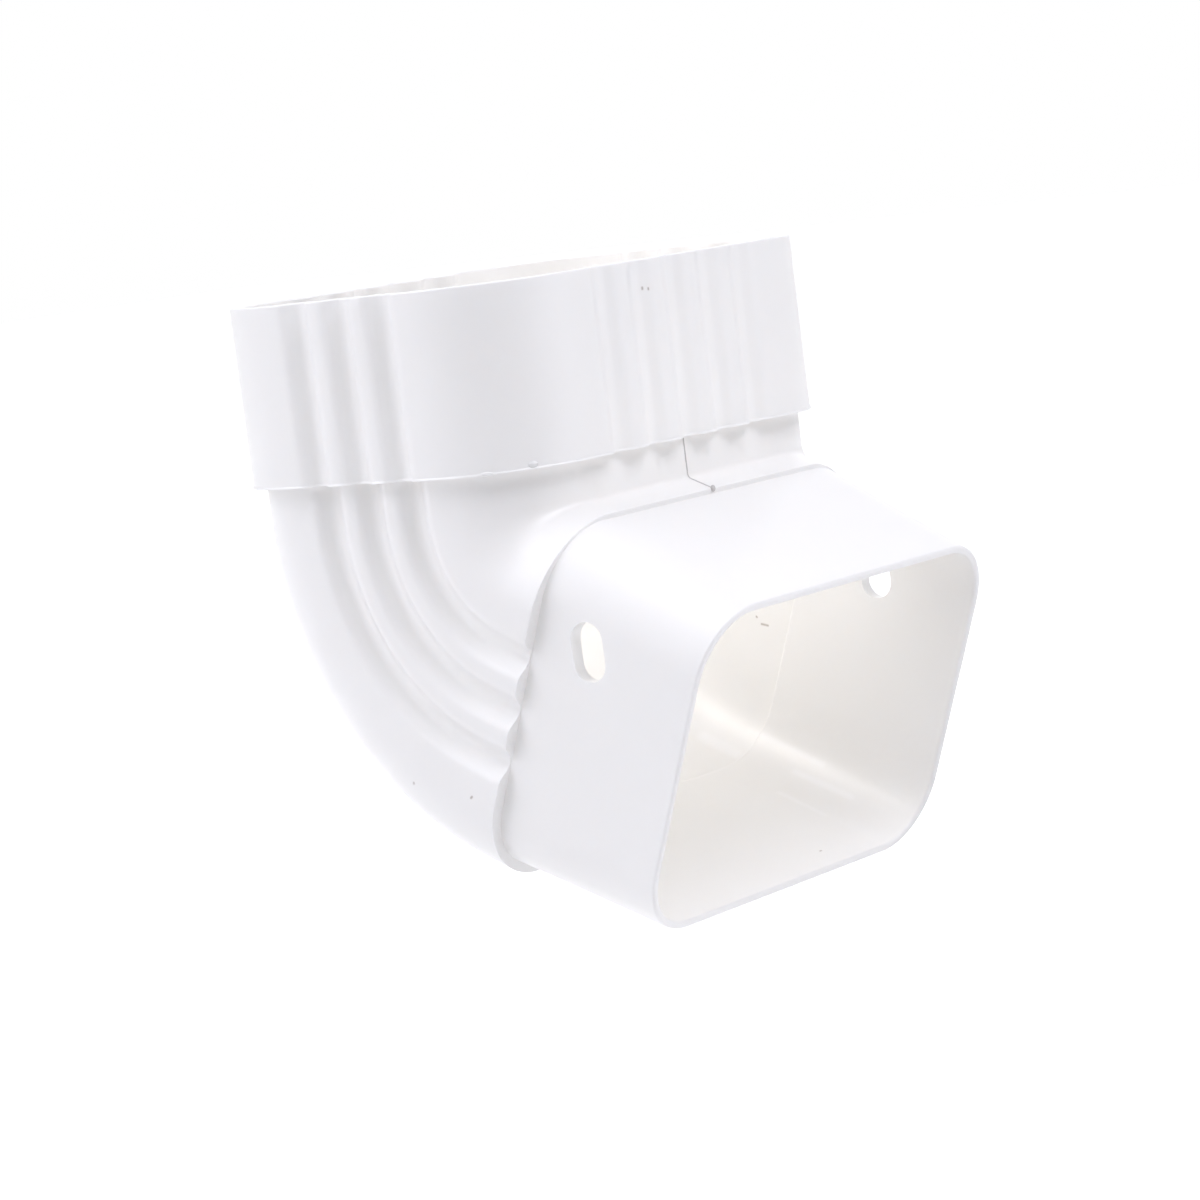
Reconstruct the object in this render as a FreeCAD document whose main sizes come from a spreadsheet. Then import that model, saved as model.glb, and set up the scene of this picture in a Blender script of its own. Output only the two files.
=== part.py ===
import FreeCAD, Part
import os

import Sketcher
from FreeCAD import Placement, Rotation, Vector
from math import pi

# A moulded vinyl elbow for a rectangular fluted downspout. The pipe from above enters the collar, the bend
# turns the flow forward and down, and the spigot enters the pipe below. The origin is the centre of the
# collar's rim, +Z points up along the inlet, -Y is the front, where the outlet leaves, and X runs across the
# wide faces.

# Driving sizes, in millimetres and degrees
sizes = {
    # Body: the section that goes round the bend, as large outside as the pipe
    "body_width": 82.5,
    "body_depth": 60.5,
    "body_corner": 15.2,
    "fluted_wall": 3.6,
    "plain_wall": 2.4,
    "neck_length": 5.8,
    "throat_radius": 1.0,
    "bend_angle": 67.5,
    "tail_length": 4.4,
    # Collar: the socket that takes the pipe's end
    "collar_height": 28.8,
    "collar_step": 2.1,
    "socket_depth": 26.8,
    "pipe_clearance": 0.3,
    # Flutes: on all faces of the collar, and on the sides and back of the body
    "flute_width": 7.6,
    "flute_floor": 2.6,
    "flute_depth": 1.9,
    "flute_pitch": 8.7,
    "flutes_wide": 5,
    "flutes_narrow": 3,
    # Spigot: steps in from the body's end, then tapers to a thin rim
    "spigot_length": 29.5,
    "spigot_corner": 11.4,
    "side_step": 2.1,
    "front_step": 0.8,
    "back_step": 2.3,
    "side_taper": 1.3,
    "front_taper": 2.7,
    "back_taper": 0.9,
    "rim_wall": 1.3,
    # Screw slots: upright, one in each side wall of the spigot
    "slot_width": 5.8,
    "slot_height": 9.2,
    "slot_from_step": 10.0,
    "slot_above_axis": 13.6,
}

# The faces of a section: the axis each runs along, and the axis and sense it looks
faces = {
    "front": ("X", "Y", -1),
    "right": ("Y", "X", 1),
    "back": ("X", "Y", 1),
    "left": ("Y", "X", -1),
}

doc = FreeCAD.newDocument("DownspoutElbow")
sheet = doc.addObject("Spreadsheet::Sheet", "Sizes")
for row, (alias, size) in enumerate(sizes.items(), 1):
    sheet.set(f"A{row}", alias)
    sheet.set(f"B{row}", str(size))
    sheet.setAlias(f"B{row}", alias)
doc.recompute()

body = doc.addObject("PartDesign::Body", "downspout_elbow")
body.Label = "downspout_elbow"
origin = {feature.Role: feature for feature in body.Origin.OriginFeatures}

# Expressions that several features share
half_width = "Sizes.body_width / 2"
half_depth = "Sizes.body_depth / 2"
bend_radius = "(Sizes.body_depth / 2 + Sizes.throat_radius)"
bend_level = "(-Sizes.collar_height - Sizes.neck_length)"
spigot_end = "(Sizes.tail_length + Sizes.spigot_length)"
spigot_side = "(Sizes.body_width / 2 - Sizes.side_step)"
tip_side = f"({spigot_side} - Sizes.side_taper)"
spigot_front = "(Sizes.body_depth / 2 - Sizes.front_step)"
tip_front = f"({spigot_front} - Sizes.front_taper)"
spigot_back = "(Sizes.body_depth / 2 - Sizes.back_step)"
tip_back = f"({spigot_back} - Sizes.back_taper)"
flute_root = "(Sizes.collar_step - Sizes.pipe_clearance) / 2"


def number(expression):
    return float(sheet.evalExpression(expression))


def new_sketch(name, plane, base, turn="0"):
    """A sketch on an origin plane, moved to base and turned about X, all by expressions."""
    sketch = body.newObject("Sketcher::SketchObject", name)
    sketch.AttachmentSupport = (origin[plane], [""])
    sketch.MapMode = "FlatFace"
    start = Vector(*[number(part) for part in base])
    sketch.AttachmentOffset = Placement(start, Rotation(Vector(1, 0, 0), number(turn)))
    for axis, part in zip("xyz", base):
        sketch.setExpression(f"AttachmentOffset.Base.{axis}", part)
    if turn != "0":
        sketch.setExpression("AttachmentOffset.Rotation.Angle", turn)
    return sketch


def level_sketch(name, level):
    """A section square to the inlet, at a height below the rim."""
    return new_sketch(name, "XY_Plane", ("0", "0", level))


def outlet_point(toward_back, along):
    """Where a point beside the outlet's axis lies in Y and Z, at a distance past the end of the bend."""
    arm = f"({bend_radius} + {toward_back})"
    across = f"-{bend_radius} + {arm} * cos(Sizes.bend_angle) - {along} * sin(Sizes.bend_angle)"
    height = f"{bend_level} - {arm} * sin(Sizes.bend_angle) - {along} * cos(Sizes.bend_angle)"
    return across, height


def outlet_sketch(name, along):
    """A section square to the outlet, at a distance past the end of the bend."""
    return new_sketch(name, "XY_Plane", ("0", *outlet_point("0", along)), "-Sizes.bend_angle")


def held(axis, geometry, point, size):
    """A rule that holds a point of a sketch at a distance from the sketch's origin along one axis."""
    return f"Distance{axis}", -1, 1, geometry, point, size


def constrain(sketch, rules):
    """Adds constraints to a sketch; a rule that ends in an expression is a dimension that follows it."""
    first = sketch.ConstraintCount
    made = []
    for rule in rules:
        sized = isinstance(rule[-1], str)
        made.append(Sketcher.Constraint(*rule[:-1], number(rule[-1])) if sized else Sketcher.Constraint(*rule))
    sketch.addConstraint(made)
    for index, rule in enumerate(rules, first):
        if isinstance(rule[-1], str):
            sketch.setExpression(f"Constraints[{index}]", rule[-1])


def arc(centre, radius, start, end):
    return Part.ArcOfCircle(Part.Circle(centre, Vector(0, 0, 1), radius), start * pi / 180, end * pi / 180)


def polygon(sketch, corners):
    """A closed chain of lines through points: its first line, and the rules that join its corners."""
    points = [Vector(number(x), number(y)) for x, y in corners]
    first = sketch.GeometryCount
    count = len(points)
    sketch.addGeometry([Part.LineSegment(points[i], points[(i + 1) % count]) for i in range(count)])
    return first, [("Coincident", first + i, 2, first + (i + 1) % count, 1) for i in range(count)]


def outline(sketch, side, front, back, corner):
    """A rounded section, the same to both sides, given by how far its faces lie from the centre."""
    x, low, high, r = number(side), -number(front), number(back), number(corner)
    sketch.addGeometry([
        Part.LineSegment(Vector(r - x, low), Vector(x - r, low)),
        arc(Vector(x - r, low + r), r, 270, 360),
        Part.LineSegment(Vector(x, low + r), Vector(x, high - r)),
        arc(Vector(x - r, high - r), r, 0, 90),
        Part.LineSegment(Vector(x - r, high), Vector(r - x, high)),
        arc(Vector(r - x, high - r), r, 90, 180),
        Part.LineSegment(Vector(-x, high - r), Vector(-x, low + r)),
        arc(Vector(r - x, low + r), r, 180, 270),
    ])
    rules = [("Tangent", line, 2, (line + 1) % 8, 1) for line in range(8)]
    rules += [("Horizontal", 0), ("Vertical", 2), ("Horizontal", 4), ("Vertical", 6)]
    rules += [("Equal", 1, 3), ("Equal", 3, 5), ("Equal", 5, 7), ("Radius", 1, corner)]
    rules += [held("X", 2, 1, side), held("X", 6, 1, f"-({side})")]
    rules += [held("Y", 0, 1, f"-({front})"), held("Y", 4, 1, back)]
    constrain(sketch, rules)


def flute(sketch, face, level, centre):
    """One flute's closed profile on a face: a floor, two flanks, and a root that reaches past the face."""
    run, look, sense = faces[face]
    floor = f"{sense} * ({level} - Sizes.flute_depth)"
    brink = f"{sense} * ({level})"
    root = f"{sense} * ({level} + {flute_root})"
    near, far = f"{centre} - Sizes.flute_floor / 2", f"{centre} + Sizes.flute_floor / 2"
    start, end = f"{centre} - Sizes.flute_width / 2", f"{centre} + Sizes.flute_width / 2"
    corners = [(near, floor), (far, floor), (end, brink), (end, root), (start, root), (start, brink)]
    if run == "Y":
        corners = [(out, along) for along, out in corners]
    first, rules = polygon(sketch, corners)
    along, across = ("Horizontal", "Vertical") if run == "X" else ("Vertical", "Horizontal")
    rules += [(along, first), (along, first + 3), (across, first + 2), (across, first + 4)]
    rules += [(along, first + 1, 2, first + 4, 2)]
    rules += [held(run, first, 1, near), held(run, first, 2, far)]
    rules += [held(run, first + 1, 2, end), held(run, first + 4, 2, start)]
    rules += [held(look, first, 1, floor), held(look, first + 1, 2, brink), held(look, first + 2, 2, root)]
    constrain(sketch, rules)


def bend_axis(sketch):
    """The line in front of the throat that the bend turns about."""
    reach = number(half_width)
    level = -number(bend_radius)
    axis = sketch.addGeometry(Part.LineSegment(Vector(reach, level), Vector(-reach, level)), True)
    constrain(sketch, [
        ("Horizontal", axis),
        held("X", axis, 1, half_width),
        held("X", axis, 2, f"-{half_width}"),
        held("Y", axis, 1, f"-{bend_radius}"),
    ])


def feature(kind, name, profile, **sizes_of):
    """A feature of the body made from a sketch, with its sizes bound to expressions."""
    made = body.newObject(f"PartDesign::{kind}", name)
    made.Profile = profile
    for size, expression in sizes_of.items():
        made.setExpression(size, expression)
    return made


def row(name, originals, axis, count):
    """Repeats a flute along a face."""
    made = body.newObject("PartDesign::LinearPattern", name)
    made.Originals = originals
    made.Direction = (origin[axis], [""])
    made.Mode = "Spacing"
    made.setExpression("Offset", "Sizes.flute_pitch")
    made.setExpression("Occurrences", count)
    body.Tip = made


# Spigot: a block seen from the side, its sides drawn in towards the tip, then its long edges rounded
spigot_profile = new_sketch("spigot_profile", "YZ_Plane", ("0", "0", "0"))
profile_corners = [
    outlet_point(f"-{spigot_front}", "Sizes.tail_length"),
    outlet_point(spigot_back, "Sizes.tail_length"),
    outlet_point(tip_back, spigot_end),
    outlet_point(f"-{tip_front}", spigot_end),
]
_, rules = polygon(spigot_profile, profile_corners)
for line, (across, height) in enumerate(profile_corners):
    rules += [held("X", line, 1, across), held("Y", line, 1, height)]
constrain(spigot_profile, rules)
spigot = feature("Pad", "spigot", spigot_profile, Length=f"2 * {spigot_side}")
spigot.SideType = "Symmetric"

spigot_plan = new_sketch(
    "spigot_plan", "XY_Plane", ("0", *outlet_point("0", "0")), "90 - Sizes.bend_angle"
)
for sense in (1, -1):
    root_x, tip_x, past_x = f"{sense} * {spigot_side}", f"{sense} * {tip_side}", f"{sense} * Sizes.body_width"
    root_y, tip_y = "-Sizes.tail_length", f"-{spigot_end}"
    first, rules = polygon(spigot_plan, [(root_x, root_y), (tip_x, tip_y), (past_x, tip_y), (past_x, root_y)])
    rules += [("Horizontal", first + 1), ("Vertical", first + 2), ("Horizontal", first + 3)]
    rules += [held("X", first, 1, root_x), held("X", first, 2, tip_x), held("X", first + 2, 1, past_x)]
    rules += [held("Y", first, 1, root_y), held("Y", first, 2, tip_y)]
    constrain(spigot_plan, rules)
spigot_sides = feature("Pocket", "spigot_sides", spigot_plan, Length="2 * Sizes.body_depth")
spigot_sides.SideType = "Symmetric"
doc.recompute()

outlet_way = spigot_plan.Placement.Rotation.multVec(Vector(0, -1, 0))
long_edges = []
for index, edge in enumerate(spigot_sides.Shape.Edges, 1):
    if abs(edge.tangentAt(edge.FirstParameter).dot(outlet_way)) > 0.9:
        long_edges.append(f"Edge{index}")
if len(long_edges) != 4:
    raise RuntimeError(f"the spigot has {len(long_edges)} long edges")
spigot_corners = body.newObject("PartDesign::Fillet", "spigot_corners")
spigot_corners.Base = (spigot_sides, long_edges)
spigot_corners.setExpression("Radius", "Sizes.spigot_corner")

# Body, from its end up: tail, bend and neck
tail_section = outlet_sketch("tail_section", "0")
outline(tail_section, half_width, half_depth, half_depth, "Sizes.body_corner")
tail = feature("Pad", "tail", tail_section, Length="Sizes.tail_length")
tail.Reversed = True

body_section = level_sketch("body_section", bend_level)
outline(body_section, half_width, half_depth, half_depth, "Sizes.body_corner")
bend_axis(body_section)
bend = feature("Revolution", "bend", body_section, Angle="Sizes.bend_angle")
bend.ReferenceAxis = (body_section, ["Axis0"])
feature("Pad", "neck", body_section, Length="Sizes.neck_length")

# Collar, with a socket and a seat for the pipe's end
collar_side = f"{half_width} + Sizes.collar_step"
collar_face = f"{half_depth} + Sizes.collar_step"
collar_section = level_sketch("collar_section", "-Sizes.collar_height")
outline(collar_section, collar_side, collar_face, collar_face, "Sizes.body_corner + Sizes.collar_step")
feature("Pad", "collar", collar_section, Length="Sizes.collar_height")

socket_side = f"{half_width} + Sizes.pipe_clearance"
socket_face = f"{half_depth} + Sizes.pipe_clearance"
socket_section = level_sketch("socket_section", "-Sizes.socket_depth")
outline(socket_section, socket_side, socket_face, socket_face, "Sizes.body_corner + Sizes.pipe_clearance")
socket = feature("Pocket", "socket", socket_section, Length="Sizes.socket_depth")
socket.Reversed = True

# Ridges in the socket, which fit the pipe's own flutes and back the flutes of the collar
first_wide = "(1 - Sizes.flutes_wide) / 2 * Sizes.flute_pitch"
first_narrow = "(1 - Sizes.flutes_narrow) / 2 * Sizes.flute_pitch"
wide_ridge = level_sketch("wide_ridge", "-Sizes.socket_depth")
for face in ("front", "back"):
    flute(wide_ridge, face, socket_face, first_wide)
wide_ridges = feature("Pad", "wide_ridges", wide_ridge, Length="Sizes.socket_depth")
row("wide_ridge_row", [wide_ridges], "X_Axis", "Sizes.flutes_wide")

narrow_ridge = level_sketch("narrow_ridge", "-Sizes.socket_depth")
for face in ("left", "right"):
    flute(narrow_ridge, face, socket_side, first_narrow)
narrow_ridges = feature("Pad", "narrow_ridges", narrow_ridge, Length="Sizes.socket_depth")
row("narrow_ridge_row", [narrow_ridges], "Y_Axis", "Sizes.flutes_narrow")

# Flutes down the collar, on all its faces
wide_flute = level_sketch("wide_flute", "0")
for face in ("front", "back"):
    flute(wide_flute, face, collar_face, first_wide)
wide_flutes = feature("Pocket", "wide_flutes", wide_flute, Length="Sizes.collar_height")
row("wide_flute_row", [wide_flutes], "X_Axis", "Sizes.flutes_wide")

narrow_flute = level_sketch("narrow_flute", "0")
for face in ("left", "right"):
    flute(narrow_flute, face, collar_side, first_narrow)
narrow_flutes = feature("Pocket", "narrow_flutes", narrow_flute, Length="Sizes.collar_height")
row("narrow_flute_row", [narrow_flutes], "Y_Axis", "Sizes.flutes_narrow")

# Flutes that go on down the body's back and sides and sweep round the bend; its front is plain
back_flute = level_sketch("back_flute", bend_level)
flute(back_flute, "back", half_depth, first_wide)
bend_axis(back_flute)
back_neck = feature("Pocket", "back_neck", back_flute, Length="Sizes.neck_length")
back_neck.Reversed = True
back_bend = feature("Groove", "back_bend", back_flute, Angle="Sizes.bend_angle")
back_bend.ReferenceAxis = (back_flute, ["Axis0"])
back_end = outlet_sketch("back_end", "0")
flute(back_end, "back", half_depth, first_wide)
back_tail = feature("Pocket", "back_tail", back_end, Length="Sizes.tail_length")
row("back_flute_row", [back_neck, back_bend, back_tail], "X_Axis", "Sizes.flutes_wide")

side_flutes = level_sketch("side_flutes", bend_level)
side_ends = outlet_sketch("side_ends", "0")
for sketch in (side_flutes, side_ends):
    for index in range(round(number("Sizes.flutes_narrow"))):
        for face in ("left", "right"):
            flute(sketch, face, half_width, f"({first_narrow} + {index} * Sizes.flute_pitch)")
bend_axis(side_flutes)
side_neck = feature("Pocket", "side_neck", side_flutes, Length="Sizes.neck_length")
side_neck.Reversed = True
side_bend = feature("Groove", "side_bend", side_flutes, Angle="Sizes.bend_angle")
side_bend.ReferenceAxis = (side_flutes, ["Axis0"])
feature("Pocket", "side_tail", side_ends, Length="Sizes.tail_length")

# Waterway: smooth round the bend, then a straight bore through the tail and spigot
waterway_section = level_sketch("waterway_section", bend_level)
outline(
    waterway_section,
    f"{half_width} - Sizes.fluted_wall",
    f"{half_depth} - Sizes.plain_wall",
    f"{half_depth} - Sizes.fluted_wall",
    "Sizes.body_corner - Sizes.fluted_wall",
)
bend_axis(waterway_section)
neck_bore = feature(
    "Pocket",
    "neck_bore",
    waterway_section,
    Length="Sizes.neck_length + Sizes.collar_height - Sizes.socket_depth",
)
neck_bore.Reversed = True
bend_bore = feature("Groove", "bend_bore", waterway_section, Angle="Sizes.bend_angle")
bend_bore.ReferenceAxis = (waterway_section, ["Axis0"])

outlet_section = outlet_sketch("outlet_section", "0")
outline(
    outlet_section,
    f"{tip_side} - Sizes.rim_wall",
    f"{tip_front} - Sizes.rim_wall",
    f"{tip_back} - Sizes.rim_wall",
    "Sizes.spigot_corner - Sizes.rim_wall",
)
feature("Pocket", "outlet_bore", outlet_section, Length=spigot_end)

# Screw slots, with upright sides and round ends, cut through both side walls
slot_across, slot_level = outlet_point("-Sizes.slot_above_axis", "(Sizes.tail_length + Sizes.slot_from_step)")
slot_section = new_sketch("slot_section", "YZ_Plane", (slot_across, slot_level, "0"))
slot_radius = "Sizes.slot_width / 2"
slot_rise = "(Sizes.slot_height - Sizes.slot_width) / 2"
r, rise = number(slot_radius), number(slot_rise)
slot_section.addGeometry([
    Part.LineSegment(Vector(r, -rise), Vector(r, rise)),
    arc(Vector(0, rise), r, 0, 180),
    Part.LineSegment(Vector(-r, rise), Vector(-r, -rise)),
    arc(Vector(0, -rise), r, 180, 360),
])
constrain(slot_section, [
    ("Tangent", 0, 2, 1, 1),
    ("Tangent", 1, 2, 2, 1),
    ("Tangent", 2, 2, 3, 1),
    ("Tangent", 3, 2, 0, 1),
    ("Vertical", 0),
    ("Radius", 1, slot_radius),
    held("X", 0, 1, slot_radius),
    held("Y", 0, 1, f"-{slot_rise}"),
    held("Y", 0, 2, slot_rise),
])
slots = feature("Pocket", "slots", slot_section, Length="Sizes.body_width")
slots.SideType = "Symmetric"

doc.recompute()

for made in doc.Objects:
    if "Invalid" in made.State or "Error" in made.State:
        raise RuntimeError(f"{made.Label} failed: {made.State}")
shape = body.Shape
if shape.isNull() or not shape.isValid() or len(shape.Solids) != 1:
    raise RuntimeError(f"{body.Label} is not one sound solid")

os.makedirs("parts", exist_ok=True)
shape.exportStep(f"parts/{body.Label}.step")
box = shape.BoundBox
print(f"{body.Label}: {shape.Volume:.0f} mm3, {box.XLength:.1f} x {box.YLength:.1f} x {box.ZLength:.1f} mm")
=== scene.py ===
import math

import bmesh
import bpy
from mathutils import Euler, Matrix, Vector


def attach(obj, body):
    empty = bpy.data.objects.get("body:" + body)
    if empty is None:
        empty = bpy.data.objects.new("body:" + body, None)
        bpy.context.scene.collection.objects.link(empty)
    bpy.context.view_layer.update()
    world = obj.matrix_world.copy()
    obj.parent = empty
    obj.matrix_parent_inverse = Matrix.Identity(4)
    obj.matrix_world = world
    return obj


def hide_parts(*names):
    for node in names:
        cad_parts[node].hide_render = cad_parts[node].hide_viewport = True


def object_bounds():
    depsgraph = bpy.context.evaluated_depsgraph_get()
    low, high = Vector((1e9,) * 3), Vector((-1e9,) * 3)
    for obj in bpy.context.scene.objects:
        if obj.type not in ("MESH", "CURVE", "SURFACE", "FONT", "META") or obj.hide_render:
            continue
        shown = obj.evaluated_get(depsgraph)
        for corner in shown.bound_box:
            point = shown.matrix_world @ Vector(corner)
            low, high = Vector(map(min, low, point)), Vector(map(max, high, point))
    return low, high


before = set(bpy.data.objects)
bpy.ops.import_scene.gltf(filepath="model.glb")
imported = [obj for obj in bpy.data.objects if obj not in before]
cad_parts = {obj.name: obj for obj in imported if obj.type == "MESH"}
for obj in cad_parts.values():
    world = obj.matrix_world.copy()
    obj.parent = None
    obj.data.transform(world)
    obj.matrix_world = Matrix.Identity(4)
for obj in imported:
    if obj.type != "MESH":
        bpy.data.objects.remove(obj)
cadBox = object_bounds()
print("frame loaded")

mm = 0.001
slack = 1e-6  # points closer than this count as in line
sharpAngle = math.radians(38)  # edges sharper than this stay sharp in the shading
white = (1, 1, 1, 1)

# The elbow's sizes, as in the frame's solid, with small rounds and a burr added
elbow = {
    "halfWidth": 41.25 * mm,
    "halfDepth": 30.25 * mm,
    "bodyCorner": 15.2 * mm,
    "flutedWall": 3.6 * mm,
    "plainWall": 2.4 * mm,
    "neckLength": 5.8 * mm,
    "throatRadius": 1.0 * mm,
    "bendAngle": math.radians(67.5),
    "tailLength": 4.4 * mm,
    "collarHeight": 28.8 * mm,
    "collarStep": 2.1 * mm,
    "lip": 0.2 * mm,  # a thin burr round the collar's foot
    "lipHeight": 0.5 * mm,
    "socketDepth": 26.8 * mm,
    "pipeClearance": 0.3 * mm,
    "spigotLength": 29.5 * mm,
    "spigotCorner": 11.4 * mm,
    "sideStep": 2.1 * mm,
    "frontStep": 0.8 * mm,
    "backStep": 2.3 * mm,
    "sideTaper": 1.3 * mm,
    "frontTaper": 2.7 * mm,
    "backTaper": 0.9 * mm,
    "rimWall": 1.3 * mm,
    "draft": 0.1 * mm,  # ledges and rims lean a little, so no two rings lie in one plane
    "rimRound": 0.35 * mm,
    "lipRound": 0.08 * mm,
    "tailRound": 0.2 * mm,
    "tipRound": 0.45 * mm,
    "boreRound": 0.4 * mm,
    "cornerSegments": 16,
    "shortestRun": 3 * mm,  # a straight run is longer, and an edge of a round corner shorter
    "wideCuts": 71,  # points along the straight run of a wide face
    "narrowCuts": 41,
    "bendSteps": 48,
}

# The flutes: smooth waves cut into a face
fluting = {
    "width": 7.6 * mm,
    "depth": 1.9 * mm,
    "frontDepth": 1.0 * mm,  # on the front of the collar, at its rim
    "footDepth": 1.6 * mm,  # and at its foot
    "pitch": 8.7 * mm,
    "wideCount": 5,
    "narrowCount": 3,
}

bendRadius = elbow["halfDepth"] + elbow["throatRadius"]
bendLevel = -elbow["collarHeight"] - elbow["neckLength"]


def levelPlace(level):
    return Matrix.Translation((0, 0, level))


def outletPlace(along):
    # a plane square to the outlet, so far past the end of the bend
    turn = elbow["bendAngle"]
    y = -bendRadius * (1 - math.cos(turn)) - along * math.sin(turn)
    z = bendLevel - bendRadius * math.sin(turn) - along * math.cos(turn)
    return Matrix.Translation((0, y, z)) @ Matrix.Rotation(-turn, 4, "X")


def pick(geom, kind):
    return [item for item in geom if isinstance(item, kind)]


def roundCorners(bm, radius, segments):
    bmesh.ops.bevel(
        bm,
        geom=bm.verts[:],
        affect="VERTICES",
        offset=radius,
        segments=segments,
        profile=0.5,
        material=-1,
    )


def roundEdges(bm, edges, radius, segments=3):
    bmesh.ops.bevel(
        bm,
        geom=edges + list({v for e in edges for v in e.verts}),
        affect="EDGES",
        offset=radius,
        offset_type="OFFSET",
        segments=segments,
        profile=0.5,
        material=-1,
        clamp_overlap=True,
    )


def spinBend(bm, geom, steps):
    # takes edges or faces round the bend and returns what ends it
    turned = bmesh.ops.spin(
        bm,
        geom=geom,
        cent=(0, -bendRadius, bendLevel),
        axis=(1, 0, 0),
        angle=-elbow["bendAngle"],
        steps=steps,
        use_merge=False,
        use_normal_flip=False,
    )
    return turned["geom_last"]


def fluteDepthAt(along, count, depth):
    # two shoulders and a hollow of one radius
    half = fluting["width"] / 2
    radius = (half**2 + depth**2) / (4 * depth)
    index = round(along / fluting["pitch"] + (count - 1) / 2)
    index = min(max(index, 0), count - 1)
    offset = abs(along - (index - (count - 1) / 2) * fluting["pitch"])
    if offset >= half:
        return 0.0
    if offset > half / 2:
        return radius - math.sqrt(radius**2 - (half - offset) ** 2)
    return depth - radius + math.sqrt(radius**2 - offset**2)


def addSection(bm, side, front, back, corner, place, fluted="", frontDepth=fluting["frontDepth"]):
    # one closed ring: a rectangle, its corners rounded, its straight runs divided and fluted
    part = bmesh.new()
    points = ((side, -front), (side, back), (-side, back), (-side, -front))
    part.faces.new([part.verts.new((x, y, 0)) for x, y in points])
    roundCorners(part, corner, elbow["cornerSegments"])
    bmesh.ops.delete(part, geom=part.faces[:], context="FACES_ONLY")
    runs = [e for e in part.edges if e.calc_length() > elbow["shortestRun"]]
    for axis, cuts in ((0, elbow["wideCuts"]), (1, elbow["narrowCuts"])):
        along = [e for e in runs if abs(e.verts[0].co[1 - axis] - e.verts[1].co[1 - axis]) < slack]
        bmesh.ops.subdivide_edges(part, edges=along, cuts=cuts)
    for v in part.verts:
        x, y = v.co.x, v.co.y
        if "sides" in fluted and abs(x) > side - slack:
            v.co.x -= math.copysign(fluteDepthAt(y, fluting["narrowCount"], fluting["depth"]), x)
        if "back" in fluted and y > back - slack:
            v.co.y -= fluteDepthAt(x, fluting["wideCount"], fluting["depth"])
        if "front" in fluted and y < slack - front:
            v.co.y += fluteDepthAt(x, fluting["wideCount"], frontDepth)
    bmesh.ops.transform(part, matrix=place, verts=part.verts)
    mesh = bpy.data.meshes.new("section")
    part.to_mesh(mesh)
    part.free()
    count = len(bm.edges)
    bm.from_mesh(mesh)
    bpy.data.meshes.remove(mesh)
    bm.edges.ensure_lookup_table()
    return bm.edges[count:]


def spinRing(bm, ring):
    corners = list({v for e in ring for v in e.verts})
    return pick(spinBend(bm, ring + corners, elbow["bendSteps"]), bmesh.types.BMEdge)


def buildShell():
    e = elbow
    w, d, r = e["halfWidth"], e["halfDepth"], e["bodyCorner"]
    step, gap, draft = e["collarStep"], e["pipeClearance"], e["draft"]
    allRound, footDepth = "sides back front", fluting["footDepth"]
    bm = bmesh.new()

    collar = (w + step, d + step, d + step, r + step)
    lip = tuple(size + e["lip"] for size in collar)
    foot = -e["collarHeight"]
    socket = (w + gap, d + gap, d + gap, r + gap)
    water = (w - e["flutedWall"], d - e["plainWall"], d - e["flutedWall"], r - e["flutedWall"])
    root = (w - e["sideStep"], d - e["frontStep"], d - e["backStep"], e["spigotCorner"])
    tip = (root[0] - e["sideTaper"], root[1] - e["frontTaper"], root[2] - e["backTaper"], root[3])
    bore = tuple(size - e["rimWall"] for size in tip)
    end = e["tailLength"] + e["spigotLength"]

    # outside, from the rim down
    collarTop = addSection(bm, *collar, levelPlace(0), allRound)
    lipTop = addSection(bm, *collar, levelPlace(foot + e["lipHeight"]), allRound, footDepth)
    lipEdge = addSection(bm, *lip, levelPlace(foot + e["lip"]), allRound, footDepth)
    collarFoot = addSection(bm, *lip, levelPlace(foot), allRound, footDepth)
    neckTop = addSection(bm, w, d, d, r, levelPlace(foot + draft), "sides back")
    bendStart = addSection(bm, w, d, d, r, levelPlace(bendLevel), "sides back")
    tailEnd = addSection(bm, w, d, d, r, outletPlace(e["tailLength"]), "sides back")
    spigotRoot = addSection(bm, *root, outletPlace(e["tailLength"] + draft))
    spigotTip = addSection(bm, *tip, outletPlace(end))

    # inside, from the outlet up
    boreTip = addSection(bm, *bore, outletPlace(end - draft))
    boreRoot = addSection(bm, *bore, outletPlace(draft))
    waterStart = addSection(bm, *water, levelPlace(bendLevel))
    waterTop = addSection(bm, *water, levelPlace(-e["socketDepth"] - draft))
    socketFoot = addSection(bm, *socket, levelPlace(-e["socketDepth"]), allRound)
    socketTop = addSection(bm, *socket, levelPlace(-draft), allRound)

    bendEnd = spinRing(bm, bendStart)
    waterEnd = spinRing(bm, waterStart)
    pairs = (
        (collarTop, lipTop),
        (lipTop, lipEdge),
        (lipEdge, collarFoot),
        (collarFoot, neckTop),
        (neckTop, bendStart),
        (bendEnd, tailEnd),
        (tailEnd, spigotRoot),
        (spigotRoot, spigotTip),
        (spigotTip, boreTip),
        (boreTip, boreRoot),
        (boreRoot, waterEnd),
        (waterStart, waterTop),
        (waterTop, socketFoot),
        (socketFoot, socketTop),
        (socketTop, collarTop),
    )
    for one, other in pairs:
        bmesh.ops.bridge_loops(bm, edges=one + other)
    bmesh.ops.recalc_face_normals(bm, faces=bm.faces)
    roundEdges(bm, collarTop + socketTop, e["rimRound"])
    roundEdges(bm, lipEdge, e["lipRound"], 2)
    roundEdges(bm, tailEnd, e["tailRound"])
    roundEdges(bm, spigotTip + boreTip, e["tipRound"])
    roundEdges(bm, boreRoot, e["boreRound"])
    return bm


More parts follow.
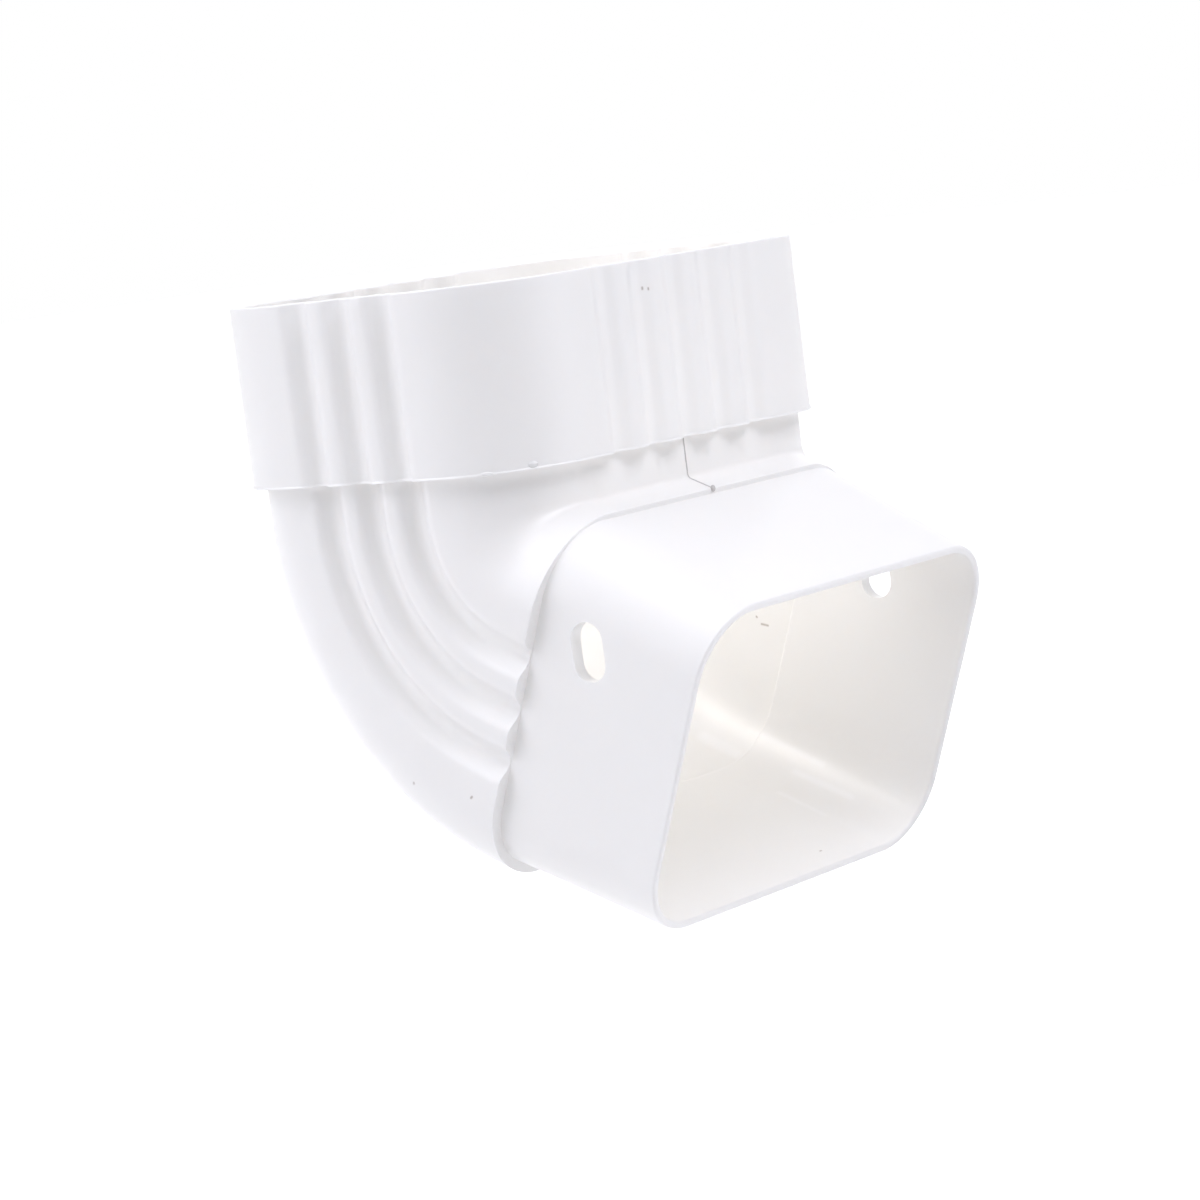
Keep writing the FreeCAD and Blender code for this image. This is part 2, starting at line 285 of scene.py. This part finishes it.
def newObject(name, bm):
    mesh = bpy.data.meshes.new(name)
    bm.to_mesh(mesh)
    bm.free()
    made = bpy.data.objects.new(name, mesh)
    bpy.context.scene.collection.objects.link(made)
    return made


# The screw slots, one in each side wall of the spigot
slot = {
    "width": 5.8 * mm,
    "height": 9.2 * mm,
    "fromStep": 10.0 * mm,
    "aboveAxis": 13.6 * mm,
    "cutPast": 5 * mm,  # how far the cutter stands out of the walls
    "endShare": 0.999,  # just short of a full round, so that the two arcs of an end don't meet
    "endSegments": 10,
    "round": 0.15 * mm,
    "edgeAngle": 0.9,  # radians: the slots' own edges turn more than this
    "edgeReach": 0.52,  # and lie this near, as a share of the height
}


def slotCentre():
    local = Vector((0, -slot["aboveAxis"], 0))
    return outletPlace(elbow["tailLength"] + slot["fromStep"]) @ local


def cutSlots(shell):
    # one bar with round ends, through both side walls
    bm = bmesh.new()
    y, z = slot["width"] / 2, slot["height"] / 2
    reach = elbow["halfWidth"] + slot["cutPast"]
    bm.faces.new([bm.verts.new((-reach, a, b)) for a, b in ((-y, -z), (y, -z), (y, z), (-y, z))])
    roundCorners(bm, y * slot["endShare"], slot["endSegments"])
    grown = bmesh.ops.extrude_face_region(bm, geom=bm.faces[:])
    bmesh.ops.translate(bm, vec=(2 * reach, 0, 0), verts=pick(grown["geom"], bmesh.types.BMVert))
    bmesh.ops.recalc_face_normals(bm, faces=bm.faces)
    bmesh.ops.translate(bm, vec=slotCentre(), verts=bm.verts)
    cutter = newObject("slotCutter", bm)
    cut = shell.modifiers.new("slots", "BOOLEAN")
    cut.operation = "DIFFERENCE"
    cut.solver = "EXACT"
    cut.object = cutter
    depsgraph = bpy.context.evaluated_depsgraph_get()
    done = bpy.data.meshes.new_from_object(shell.evaluated_get(depsgraph))
    shell.modifiers.clear()
    old = shell.data
    shell.data = done
    bpy.data.meshes.remove(old)
    bpy.data.objects.remove(cutter)


def roundSlots(shell):
    # a small round on the edges the slots leave
    bm = bmesh.new()
    bm.from_mesh(shell.data)
    centre = slotCentre()
    reach = slot["height"] * slot["edgeReach"]
    near = [
        e
        for e in bm.edges
        if len(e.link_faces) == 2
        and e.calc_face_angle() > slot["edgeAngle"]
        and all((Vector((0, v.co.y, v.co.z)) - centre).length < reach for v in e.verts)
    ]
    roundEdges(bm, near, slot["round"], 2)
    bm.to_mesh(shell.data)
    bm.free()


def finishPiece(piece, node=None):
    for face in piece.data.polygons:
        face.use_smooth = True
    piece.data.set_sharp_from_angle(angle=sharpAngle)
    even = piece.modifiers.new("evenNormals", "WEIGHTED_NORMAL")
    even.keep_sharp = True
    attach(piece, "root")
    if node:
        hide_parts(node)


shell = newObject("elbowShell", buildShell())
cutSlots(shell)
roundSlots(shell)
finishPiece(shell, "downspout_elbow")
print("elbow built:", len(shell.data.polygons), "faces")


def addLump(bm, radius, matrix):
    bmesh.ops.create_uvsphere(bm, u_segments=16, v_segments=10, radius=radius, matrix=matrix)


# The mould's parting line: a thin fin down the front of the neck, through the throat and along the tail
seam = {
    "width": 0.26 * mm,
    "height": 0.14 * mm,
    "sunk": 0.1 * mm,  # into the wall, and up into the collar
    "bendSteps": 10,
    "nub": 0.55 * mm,
    "nubShape": (0.8, 0.7, 1, 1),
}


def buildSeam():
    bm = bmesh.new()
    half, sunk = seam["width"] / 2, seam["sunk"]
    y = -elbow["halfDepth"]
    top = sunk - elbow["collarHeight"]
    points = ((-half, y + sunk), (-half, y), (0, y - seam["height"]), (half, y), (half, y + sunk))
    face = bm.faces.new([bm.verts.new((a, b, top)) for a, b in points])
    neck = bmesh.ops.extrude_face_region(bm, geom=[face])["geom"]
    bmesh.ops.translate(bm, vec=(0, 0, bendLevel - top), verts=pick(neck, bmesh.types.BMVert))
    throat = spinBend(bm, pick(neck, bmesh.types.BMFace), seam["bendSteps"])
    tail = bmesh.ops.extrude_face_region(bm, geom=pick(throat, bmesh.types.BMFace))["geom"]
    way = outletPlace(0).to_3x3() @ Vector((0, 0, -1))
    bmesh.ops.translate(bm, vec=way * elbow["tailLength"], verts=pick(tail, bmesh.types.BMVert))
    # the faces across the fin go: those between the runs, and those at the ends, which don't show
    across = [f for f in bm.faces if len(f.verts) == len(points)]
    bmesh.ops.delete(bm, geom=across, context="FACES_ONLY")
    bmesh.ops.recalc_face_normals(bm, faces=bm.faces)
    nub = outletPlace(elbow["tailLength"]) @ Vector((0, -elbow["halfDepth"], 0))
    addLump(bm, seam["nub"], Matrix.Translation(nub) @ Matrix.Diagonal(seam["nubShape"]))
    return bm


seamFin = newObject("partingSeam", buildSeam())
finishPiece(seamFin)

# Flash near the collar's lower edge, as small lumps on the rounded front left corner
flash = {
    "lumps": (  # degrees round the corner from the front, lift, half width, half height
        (-34.3, 0.75 * mm, 0.8 * mm, 0.6 * mm),
        (-57.9, 0.2 * mm, 1.1 * mm, 0.4 * mm),
    ),
    "thickness": 0.45 * mm,
    "seat": 0.15 * mm,
}


def buildFlash():
    bm = bmesh.new()
    corner = elbow["bodyCorner"] + elbow["collarStep"]
    centre = Vector((elbow["bodyCorner"] - elbow["halfWidth"], elbow["bodyCorner"] - elbow["halfDepth"]))
    for degrees, lift, width, height in flash["lumps"]:
        turn = math.radians(degrees)
        at = centre + Vector((math.sin(turn), -math.cos(turn))) * (corner - flash["seat"])
        place = Matrix.Translation((at.x, at.y, lift - elbow["collarHeight"]))
        shape = Matrix.Diagonal((width, flash["thickness"], height, 1))
        addLump(bm, 1, place @ Matrix.Rotation(turn, 4, "Z") @ shape)
    return bm


flashLumps = newObject("mouldFlash", buildFlash())
finishPiece(flashLumps)
print("seam and flash built")


# White rigid vinyl: warm in itself, and bluish outside only from the light
vinyl = {
    "light": (0.93, 0.919, 0.898, 1),
    "dark": (0.912, 0.9, 0.876, 1),
    "toneNoise": (45, 2),  # scale and detail, as in the other noises
    "mark": (0.42, 0.36, 0.32, 1),
    "markStrength": 0.8,
    # lighter streaks: drag marks, and a painted highlight along the bend's inner corner
    "scuffAndHighlight": (0.995, 0.985, 0.975, 1),
    "scuffAndHighlightStrength": 0.55,
    "roughness": (0.25, 0.36),
    "roughnessNoise": (160, 2),
    "subsurface": 0.3,
    "subsurfaceRadius": (1.0, 0.93, 0.87),
    "subsurfaceScale": 2 * mm,
    "ior": 1.53,
    "bumps": (  # strength, distance and noise: the wall's slow waves, then its fine grain
        (0.12, 0.4 * mm, (70, 1)),
        (0.06, 0.05 * mm, (2600, 0)),
    ),
}

# Specks of dirt, in mm: where on the part, how far they run, and how large
specks = (
    ((-7.2, -31.6, -4.7), (0, 0, 0.2), 0.32),
    ((-6.3, -32.06, -4.9), (0, 0, 0.2), 0.28),
    ((-40.3, -0.5, -76.2), (0, 0.3, -0.3), 0.38),
    ((-41.2, -13.1, -78.1), (0, 0.3, -0.2), 0.32),
    ((37.65, -11.6, -63.8), (0, 0.1, 0.1), 0.3),
    ((37.65, -12.4, -65.0), (0, -1.3, -0.3), 0.32),
    ((13.9, -36.7, -98.5), (0.4, 0, 0), 0.26),
)

# Drag marks inside the outlet, and in the last row a painted highlight along the bend's inner back-right
# corner, in mm from the middle of the step: from, to, half width
dragsAndHighlight = (
    ((34.9, 21.5, 6.6), (34.8, 21.5, -9.3), 1.0),
    ((32.4, 23.8, -5.8), (32.4, 23.4, -17.4), 1.0),
    ((26.6, 25.75, -7.5), (26.5, 25.2, -16.9), 1.1),
    # a painted highlight along the bend's inner back-right corner, not a mark
    ((31.3, 24.9, 12.9), (31.6, 25.2, 5.8), 1.8),
)


def newMaterial(name):
    material = bpy.data.materials.new(name)
    material.use_nodes = True
    tree = material.node_tree
    return material, tree.nodes, tree.links, tree.nodes["Principled BSDF"]


def markGroup():
    # how far a point lies from a line between two points, as a soft mask
    group = bpy.data.node_groups.new("surfaceMark", "ShaderNodeTree")
    for name, kind in (("Point", "Vector"), ("From", "Vector"), ("Way", "Vector"), ("Radius", "Float")):
        group.interface.new_socket(name, in_out="INPUT", socket_type="NodeSocket" + kind)
    group.interface.new_socket("Mask", in_out="OUTPUT", socket_type="NodeSocketFloat")
    nodes, links = group.nodes, group.links
    given = nodes.new("NodeGroupInput")
    result = nodes.new("NodeGroupOutput")

    def vector(operation, *inputs):
        node = nodes.new("ShaderNodeVectorMath")
        node.operation = operation
        for socket, source in zip(node.inputs, inputs):
            links.new(source, socket)
        return node

    away = vector("SUBTRACT", given.outputs["Point"], given.outputs["From"]).outputs["Vector"]
    along = vector("DOT_PRODUCT", away, given.outputs["Way"]).outputs["Value"]
    whole = vector("DOT_PRODUCT", given.outputs["Way"], given.outputs["Way"]).outputs["Value"]
    part = nodes.new("ShaderNodeMath")
    part.operation = "DIVIDE"
    part.use_clamp = True
    links.new(along, part.inputs[0])
    links.new(whole, part.inputs[1])
    reach = vector("SCALE", given.outputs["Way"])
    links.new(part.outputs[0], reach.inputs["Scale"])
    gap = vector("DISTANCE", away, reach.outputs["Vector"]).outputs["Value"]
    soft = nodes.new("ShaderNodeMapRange")
    soft.interpolation_type = "SMOOTHSTEP"
    soft.inputs["To Min"].default_value = 1
    soft.inputs["To Max"].default_value = 0
    links.new(gap, soft.inputs["Value"])
    links.new(given.outputs["Radius"], soft.inputs["From Max"])
    links.new(soft.outputs["Result"], result.inputs["Mask"])
    return group


def makeVinyl():
    material, nodes, links, shader = newMaterial("whiteVinyl")
    place = nodes.new("ShaderNodeTexCoord").outputs["Object"]
    marks = markGroup()

    def noise(scale, detail):
        node = nodes.new("ShaderNodeTexNoise")
        node.inputs["Scale"].default_value = scale
        node.inputs["Detail"].default_value = detail
        links.new(place, node.inputs["Vector"])
        return node.outputs["Fac"]

    def mask(start, way, radius):
        node = nodes.new("ShaderNodeGroup")
        node.node_tree = marks
        node.inputs["From"].default_value = start
        node.inputs["Way"].default_value = way
        node.inputs["Radius"].default_value = radius
        links.new(place, node.inputs["Point"])
        return node.outputs["Mask"]

    def blend(under, over, factor):
        node = nodes.new("ShaderNodeMix")
        node.data_type = "RGBA"
        links.new(factor, node.inputs["Factor"])
        for socket, source in ((node.inputs["A"], under), (node.inputs["B"], over)):
            if isinstance(source, tuple):
                socket.default_value = source
            else:
                links.new(source, socket)
        return node.outputs["Result"]

    def total(masks):
        result = masks[0]
        for other in masks[1:]:
            node = nodes.new("ShaderNodeMath")
            node.operation = "MAXIMUM"
            links.new(result, node.inputs[0])
            links.new(other, node.inputs[1])
            result = node.outputs[0]
        return result

    def scaled(source, factor):
        node = nodes.new("ShaderNodeMath")
        node.operation = "MULTIPLY"
        node.inputs[1].default_value = factor
        links.new(source, node.inputs[0])
        return node.outputs[0]

    colour = blend(vinyl["dark"], vinyl["light"], noise(*vinyl["toneNoise"]))
    dirt = [mask(Vector(at) * mm, Vector(run) * mm, size * mm) for at, run, size in specks]
    colour = blend(colour, vinyl["mark"], scaled(total(dirt), vinyl["markStrength"]))
    outlet = outletPlace(elbow["tailLength"])
    scuffAndHighlightMasks = []
    for start, end, size in dragsAndHighlight:
        first, last = outlet @ (Vector(start) * mm), outlet @ (Vector(end) * mm)
        scuffAndHighlightMasks.append(mask(first, last - first, size * mm))
    # lightens the drag marks, and paints a highlight along the bend's inner corner
    colour = blend(colour, vinyl["scuffAndHighlight"], scaled(total(scuffAndHighlightMasks), vinyl["scuffAndHighlightStrength"]))
    links.new(colour, shader.inputs["Base Color"])
    shine = nodes.new("ShaderNodeMapRange")
    shine.inputs["To Min"].default_value, shine.inputs["To Max"].default_value = vinyl["roughness"]
    links.new(noise(*vinyl["roughnessNoise"]), shine.inputs["Value"])
    links.new(shine.outputs["Result"], shader.inputs["Roughness"])
    shader.inputs["Subsurface Weight"].default_value = vinyl["subsurface"]
    shader.inputs["Subsurface Radius"].default_value = vinyl["subsurfaceRadius"]
    shader.inputs["Subsurface Scale"].default_value = vinyl["subsurfaceScale"]
    shader.inputs["IOR"].default_value = vinyl["ior"]
    normal = None
    for strength, distance, grain in vinyl["bumps"]:
        bump = nodes.new("ShaderNodeBump")
        bump.inputs["Strength"].default_value = strength
        bump.inputs["Distance"].default_value = distance
        links.new(noise(*grain), bump.inputs["Height"])
        if normal:
            links.new(normal, bump.inputs["Normal"])
        normal = bump.outputs["Normal"]
    links.new(normal, shader.inputs["Normal"])
    return material


# The seam's fin and its nub are painted grey in patches: partly dirt that the fin catches, partly painted
# shade of the crease along it
seamDirtAndShade = {
    "paleGrey": (0.72, 0.7, 0.69, 1),
    "darkGrey": (0.45, 0.42, 0.41, 1),
    "patches": 900,
    "roughness": 0.5,
}


def makeSeamDirtAndShade():
    material, nodes, links, shader = newMaterial("seamDirtAndShadeVinyl")
    place = nodes.new("ShaderNodeTexCoord").outputs["Object"]
    patchy = nodes.new("ShaderNodeTexNoise")
    patchy.inputs["Scale"].default_value = seamDirtAndShade["patches"]
    links.new(place, patchy.inputs["Vector"])
    # the grey tone is dirt and painted shade of the seam's crease, not the vinyl's own colour
    tone = nodes.new("ShaderNodeMix")
    tone.data_type = "RGBA"
    tone.inputs["A"].default_value = seamDirtAndShade["paleGrey"]
    tone.inputs["B"].default_value = seamDirtAndShade["darkGrey"]
    links.new(patchy.outputs["Fac"], tone.inputs["Factor"])
    links.new(tone.outputs["Result"], shader.inputs["Base Color"])
    shader.inputs["Roughness"].default_value = seamDirtAndShade["roughness"]
    return material


whiteVinyl = makeVinyl()
for piece, look in ((shell, whiteVinyl), (flashLumps, whiteVinyl), (seamFin, makeSeamDirtAndShade())):
    piece.data.materials.clear()
    piece.data.materials.append(look)
print("materials made")

# Stage: a white floor below the part, which hangs from its socket, and soft light from both sides and above
stage = {
    "floorLevel": -0.118,
    "floorSize": 8.0,
    "floorColour": (0.85, 0.85, 0.85, 1),
    "floorRoughness": 0.9,
    "floorGlow": 0.93,
    "skyColour": (0.924, 0.928, 1, 1),
    "skyStrength": 0.06,
}


def seenRays(tree):
    # rays that show the backdrop: straight, in gloss, or through something clear
    path = tree.nodes.new("ShaderNodeLightPath")
    seen = path.outputs["Is Camera Ray"]
    for name in ("Is Glossy Ray", "Is Transmission Ray"):
        either = tree.nodes.new("ShaderNodeMath")
        either.operation = "MAXIMUM"
        tree.links.new(seen, either.inputs[0])
        tree.links.new(path.outputs[name], either.inputs[1])
        seen = either.outputs[0]
    return seen


def makeFloor():
    bm = bmesh.new()
    bmesh.ops.create_grid(bm, x_segments=1, y_segments=1, size=stage["floorSize"] / 2)
    bmesh.ops.translate(bm, vec=(0, 0, stage["floorLevel"]), verts=bm.verts)
    floor = newObject("studioFloor", bm)
    material, nodes, links, shader = newMaterial("floorWhite")
    shader.inputs["Base Color"].default_value = stage["floorColour"]
    shader.inputs["Roughness"].default_value = stage["floorRoughness"]
    shader.inputs["Emission Color"].default_value = white
    glow = nodes.new("ShaderNodeMath")
    glow.operation = "MULTIPLY"
    glow.inputs[1].default_value = stage["floorGlow"]
    links.new(seenRays(material.node_tree), glow.inputs[0])
    links.new(glow.outputs[0], shader.inputs["Emission Strength"])
    floor.data.materials.append(material)


def makeSky():
    # plain white where it is seen, and a faint blue light otherwise
    world = bpy.data.worlds.new("studioSky")
    bpy.context.scene.world = world
    world.use_nodes = True
    nodes, links = world.node_tree.nodes, world.node_tree.links
    sky = nodes["Background"]
    tint = nodes.new("ShaderNodeMix")
    tint.data_type = "RGBA"
    tint.inputs["A"].default_value = stage["skyColour"]
    tint.inputs["B"].default_value = white
    seen = seenRays(world.node_tree)
    strength = nodes.new("ShaderNodeMapRange")
    strength.inputs["To Min"].default_value = stage["skyStrength"]
    strength.inputs["To Max"].default_value = 1
    links.new(seen, strength.inputs["Value"])
    links.new(seen, tint.inputs["Factor"])
    links.new(tint.outputs["Result"], sky.inputs["Color"])
    links.new(strength.outputs["Result"], sky.inputs["Strength"])


# Large soft lamps; the small warm one in the socket stands for the light that the thin walls let through
softboxes = {
    "leftBox": {"at": (-0.74, 0.66, 0.36), "size": (0.9, 0.6), "power": 3.4},
    "leftHighBox": {"at": (-0.55, 0.5, 0.75), "size": (0.9, 0.6), "power": 4.4},
    "frontBox": {"at": (0.17, -0.68, 0.82), "size": (1.2, 0.6), "power": 7.4},
    "lowBox": {"at": (0.35, -1.0, 0.02), "size": (0.9, 0.4), "power": 1.0},
    "topBox": {"at": (-0.25, -0.28, 0.92), "size": (1.0, 1.0), "power": 4.5},
    "rightBox": {"at": (0.9, 0.4, 0.35), "size": (0.8, 0.6), "power": 0.6},
    "socketGlow": {
        "at": (-0.012, 0, -0.018),
        "size": (0.024, 0.036),
        "power": 0.0115,
        "colour": (1, 0.95, 0.86),
        "aim": (0.0376, -0.02, -0.07),
    },
}


def makeLights():
    lo, hi = cadBox
    middle = (lo + hi) / 2
    for name, box in softboxes.items():
        light = bpy.data.lights.new(name, "AREA")
        light.shape = "RECTANGLE"
        light.size, light.size_y = box["size"]
        light.energy = box["power"]
        light.color = box.get("colour", stage["skyColour"][:3])
        lamp = bpy.data.objects.new(name, light)
        lamp.location = box["at"]
        way = Vector(box.get("aim", middle)) - Vector(box["at"])
        lamp.rotation_euler = way.to_track_quat("-Z", "Y").to_euler()
        lamp.visible_camera = False
        bpy.context.scene.collection.objects.link(lamp)


# The camera stands to the left of the front and is rolled a little, as the part leans in the photograph
camera = {
    "at": (-0.4696, -0.4004, 0.0161),
    "azimuth": math.radians(50.1992),
    "elevation": math.radians(6.575),
    "roll": math.radians(-7.2934),
    "lens": 114.03,
    "sensor": 36,
}


def makeCamera():
    data = bpy.data.cameras.new("photoCamera")
    data.lens = camera["lens"]
    data.sensor_width = camera["sensor"]
    eye = bpy.data.objects.new("photoCamera", data)
    aim = Euler((math.pi / 2 - camera["elevation"], 0, -camera["azimuth"])).to_matrix()
    eye.rotation_euler = (aim @ Matrix.Rotation(camera["roll"], 3, "Z")).to_euler()
    eye.location = camera["at"]
    bpy.context.scene.collection.objects.link(eye)
    bpy.context.scene.camera = eye


makeFloor()
makeSky()
makeLights()
makeCamera()
bpy.context.scene.view_settings.view_transform = "Standard"
print("stage set")
